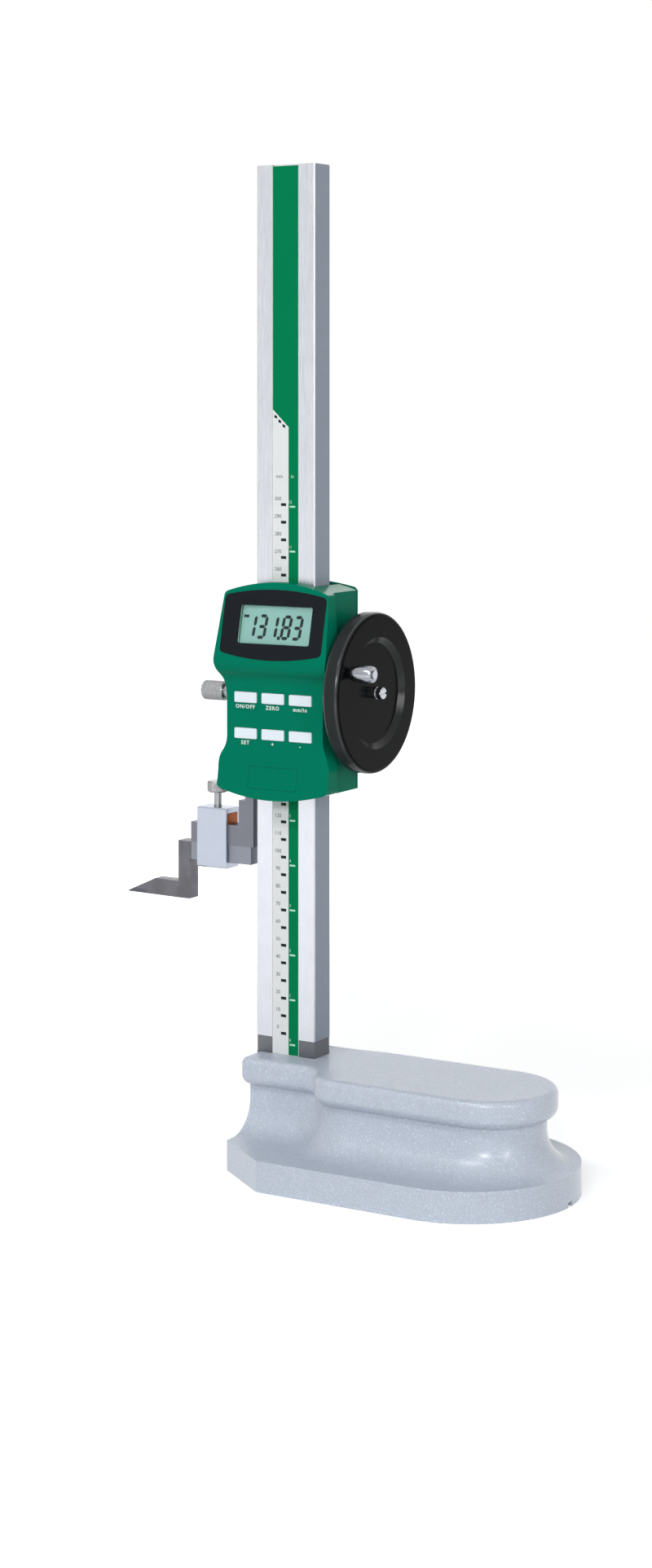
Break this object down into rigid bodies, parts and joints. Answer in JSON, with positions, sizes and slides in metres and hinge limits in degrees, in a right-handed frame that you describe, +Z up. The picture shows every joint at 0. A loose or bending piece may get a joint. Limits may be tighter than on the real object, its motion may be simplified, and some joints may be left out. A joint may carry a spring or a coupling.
{
  "type": "height gauge",
  "caption": "Free-standing digital height gauge: cast base, graduated column, and a slider driven by a rack and hand wheel that carries a display, keys and a clamped scriber.",
  "frame": {"origin": "on the surface the gauge stands on, below the middle of the column", "axes": "+Z up along the column, +X along the base away from the scriber, and the display faces -Y"},
  "size_m": [0.2905, 0.1297, 0.564],
  "materials": {
    "hammered_paint": "light blue-grey hammered paint over cast iron",
    "ground_steel": "ground",
    "frame_steel": "machined and ground",
    "tool_steel": "dark ground tool steel",
    "carbide": "ground carbide",
    "satin_steel": "satin",
    "bright_steel": "bright plated",
    "screw_steel": "blackened",
    "brass": "machined brass",
    "circuit_board": "solder resist",
    "scale_print": "matt printed film, light with a green side and top",
    "green_plastic": "satin moulded",
    "black_gloss": "gloss",
    "lcd_glass": "grey-green liquid crystal cell",
    "window": "clear pane",
    "key_plastic": "off-white moulded",
    "mat_rubber": "silicone rubber",
    "holder_plastic": "moulded"
  },
  "bodies": {
    "base": {"base_casting": "hammered_paint", "column": "ground_steel", "column_screws": "screw_steel", "scale_circuit": "circuit_board", "scale_strip": "scale_print", "rack": "frame_steel", "rack_screws": "screw_steel"},
    "slider": {"slider_frame": "frame_steel", "gib_strip": "brass", "gib_screws": "screw_steel", "shaft_bushes": "brass", "front_cover": "green_plastic", "rear_cover": "green_plastic", "cover_screws": "screw_steel", "display_bezel": "black_gloss", "display_window": "window", "lcd_module": "lcd_glass", "lcd_holder": "holder_plastic", "main_board": "circuit_board", "sensor_board": "circuit_board", "keypad_mat": "mat_rubber", "battery_holder": "holder_plastic", "button_cell": "bright_steel", "battery_cover": "green_plastic", "clamp_box": "satin_steel", "clamp_pad": "brass"},
    "wheel": {"wheel_shaft": "ground_steel", "pinion": "frame_steel", "hand_wheel": "black_gloss", "hub_screw": "bright_steel", "spinner_pin": "bright_steel"},
    "spinner": {"spinner_handle": "bright_steel"},
    "lock_screw_body": {"lock_screw": "satin_steel"},
    "clamp_screw_body": {"clamp_screw": "satin_steel"},
    "scriber_body": {"scriber": "tool_steel", "carbide_tip": "carbide"},
    "key_upper_left_body": {"key_upper_left": "key_plastic"},
    "key_upper_middle_body": {"key_upper_middle": "key_plastic"},
    "key_upper_right_body": {"key_upper_right": "key_plastic"},
    "key_lower_left_body": {"key_lower_left": "key_plastic"},
    "key_lower_middle_body": {"key_lower_middle": "key_plastic"},
    "key_lower_right_body": {"key_lower_right": "key_plastic"}
  },
  "joints": [
    {"name": "slider_travel", "type": "slide", "parent": "base", "child": "slider", "axis": [0, 0, 1], "range_m": [-0.14, 0.16]},
    {"name": "wheel_turn", "type": "hinge", "parent": "slider", "child": "wheel", "pos_m": [0, 0.0121, 0.265], "axis": [1, 0, 0], "range_deg": [-1115, 1274]},
    {"name": "spinner_turn", "type": "hinge", "parent": "wheel", "child": "spinner", "pos_m": [0.0577, -0.02085, 0.27899], "axis": [1, 0, 0], "continuous": true},
    {"name": "lock_screw_turn", "type": "hinge", "parent": "slider", "child": "lock_screw_body", "pos_m": [-0.05245, 0, 0.2621], "axis": [1, 0, 0], "range_deg": [-270, 20]},
    {"name": "clamp_screw_turn", "type": "hinge", "parent": "slider", "child": "clamp_screw_body", "pos_m": [-0.05115, 0, 0.206], "axis": [0, 0, 1], "range_deg": [0, 360]},
    {"name": "scriber_slide", "type": "slide", "parent": "slider", "child": "scriber_body", "axis": [1, 0, 0], "range_m": [-0.012, 0]},
    {"name": "key_upper_left_press", "type": "slide", "parent": "slider", "child": "key_upper_left_body", "axis": [0, 1, 0], "range_m": [0, 0.0005], "stiffness_N_per_m": 1500, "springref_m": -0.0003},
    {"name": "key_upper_middle_press", "type": "slide", "parent": "slider", "child": "key_upper_middle_body", "axis": [0, 1, 0], "range_m": [0, 0.0005], "stiffness_N_per_m": 1500, "springref_m": -0.0003},
    {"name": "key_upper_right_press", "type": "slide", "parent": "slider", "child": "key_upper_right_body", "axis": [0, 1, 0], "range_m": [0, 0.0005], "stiffness_N_per_m": 1500, "springref_m": -0.0003},
    {"name": "key_lower_left_press", "type": "slide", "parent": "slider", "child": "key_lower_left_body", "axis": [0, 1, 0], "range_m": [0, 0.0005], "stiffness_N_per_m": 1500, "springref_m": -0.0003},
    {"name": "key_lower_middle_press", "type": "slide", "parent": "slider", "child": "key_lower_middle_body", "axis": [0, 1, 0], "range_m": [0, 0.0005], "stiffness_N_per_m": 1500, "springref_m": -0.0003},
    {"name": "key_lower_right_press", "type": "slide", "parent": "slider", "child": "key_lower_right_body", "axis": [0, 1, 0], "range_m": [0, 0.0005], "stiffness_N_per_m": 1500, "springref_m": -0.0003}
  ],
  "couplings": [
    {"joint": "wheel_turn", "follows": "slider_travel", "rad_per_m": 138.89}
  ]
}
